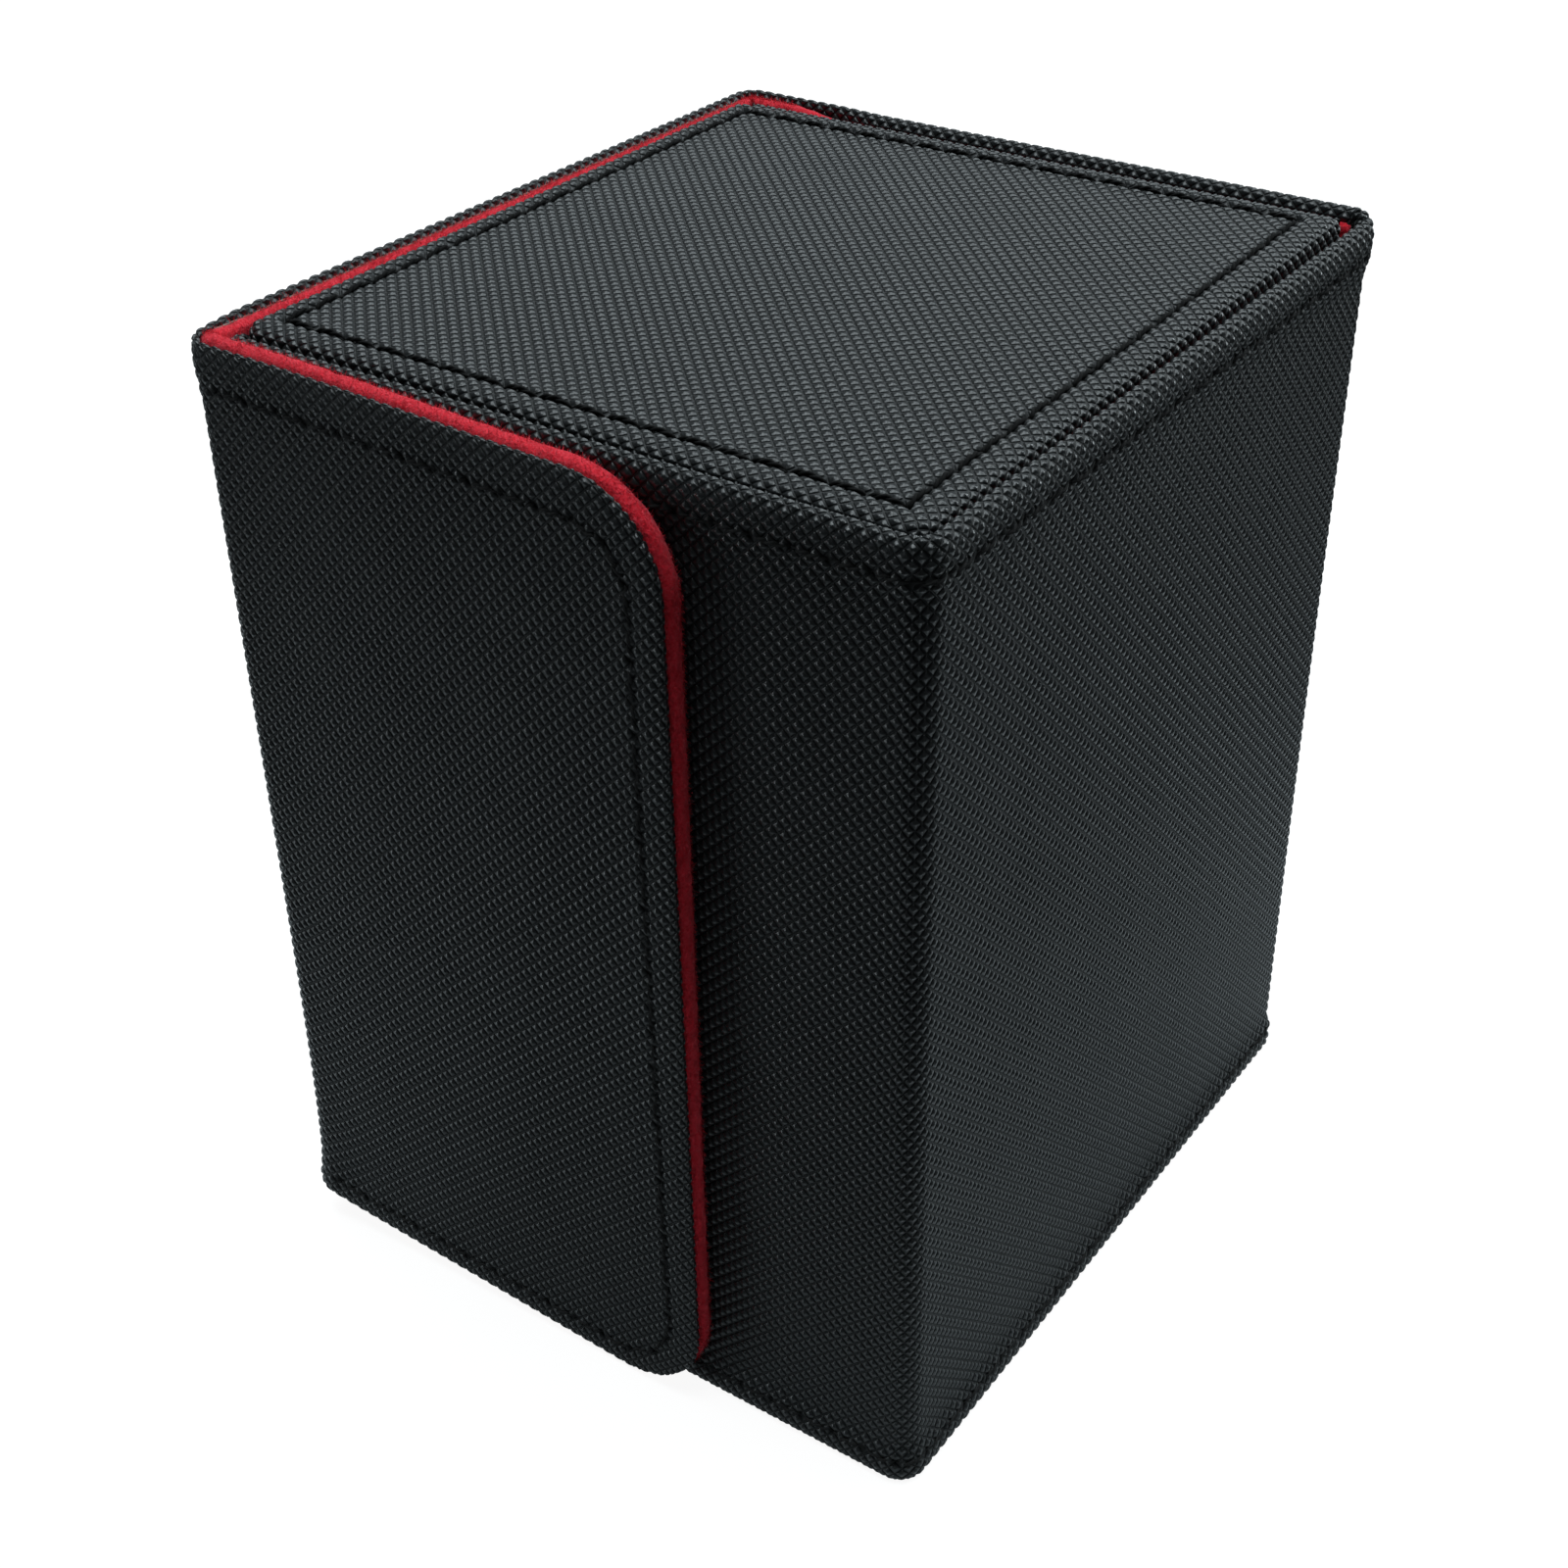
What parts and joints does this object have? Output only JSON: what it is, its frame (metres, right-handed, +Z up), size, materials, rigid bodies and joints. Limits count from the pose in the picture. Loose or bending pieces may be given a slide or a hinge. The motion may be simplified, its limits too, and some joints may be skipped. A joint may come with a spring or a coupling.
{
  "type": "card deck box",
  "caption": "Side-opening deck box for sleeved cards: a lined board tray in embossed leatherette with a hinged side panel, a magnetic wrap-over flap and a stitched hinged lid.",
  "frame": {"origin": "middle of the face that the box stands on", "axes": "+Z up; -Y is the front, where the flap closes; +X is the right wall and -X the side panel that opens"},
  "size_m": [0.0764, 0.0864, 0.1045],
  "materials": {
    "leatherette": "satin",
    "thread": "matte",
    "red_microfibre": "matte",
    "greyboard": "matte",
    "magnet_steel": "satin"
  },
  "bodies": {
    "box": {"base_skin": "leatherette", "base_board": "greyboard", "base_lining": "red_microfibre", "base_stitching": "thread", "front_wall_board": "greyboard", "right_wall_board": "greyboard", "back_wall_board": "greyboard", "front_wall_skin": "leatherette", "right_wall_skin": "leatherette", "back_wall_skin": "leatherette", "front_wall_lining": "red_microfibre", "right_wall_lining": "red_microfibre", "back_wall_lining": "red_microfibre", "back_cover_lining": "red_microfibre", "front_wall_magnets": "magnet_steel", "wall_stitching": "thread", "back_fold_skin": "leatherette", "back_fold_lining": "red_microfibre", "lid_hinge_strip": "leatherette"},
    "side_panel": {"side_panel_skin": "leatherette", "side_panel_board": "greyboard", "side_panel_lining": "red_microfibre", "side_panel_stitching": "thread", "front_fold_skin": "leatherette", "front_fold_lining": "red_microfibre"},
    "flap": {"flap_skin": "leatherette", "flap_board": "greyboard", "flap_lining": "red_microfibre", "flap_stitching": "thread", "flap_magnets": "magnet_steel"},
    "lid": {"lid_skin": "leatherette", "lid_board": "greyboard", "lid_lining": "red_microfibre", "lid_stitching": "thread"}
  },
  "joints": [
    {"name": "side_panel_hinge", "type": "hinge", "parent": "box", "child": "side_panel", "pos_m": [-0.03765, 0.04265, 0.05], "axis": [0, 0, -1], "range_deg": [0, 170], "deforming": ["back_fold_skin", "back_fold_lining"]},
    {"name": "flap_hinge", "type": "hinge", "parent": "side_panel", "child": "flap", "pos_m": [-0.03765, -0.04265, 0.05], "axis": [0, 0, -1], "range_deg": [0, 160], "deforming": ["front_fold_skin", "front_fold_lining"]},
    {"name": "lid_hinge", "type": "hinge", "parent": "box", "child": "lid", "pos_m": [0, 0.04015, 0.10295], "axis": [-1, 0, 0], "range_deg": [0, 100], "deforming": ["lid_hinge_strip"]}
  ]
}
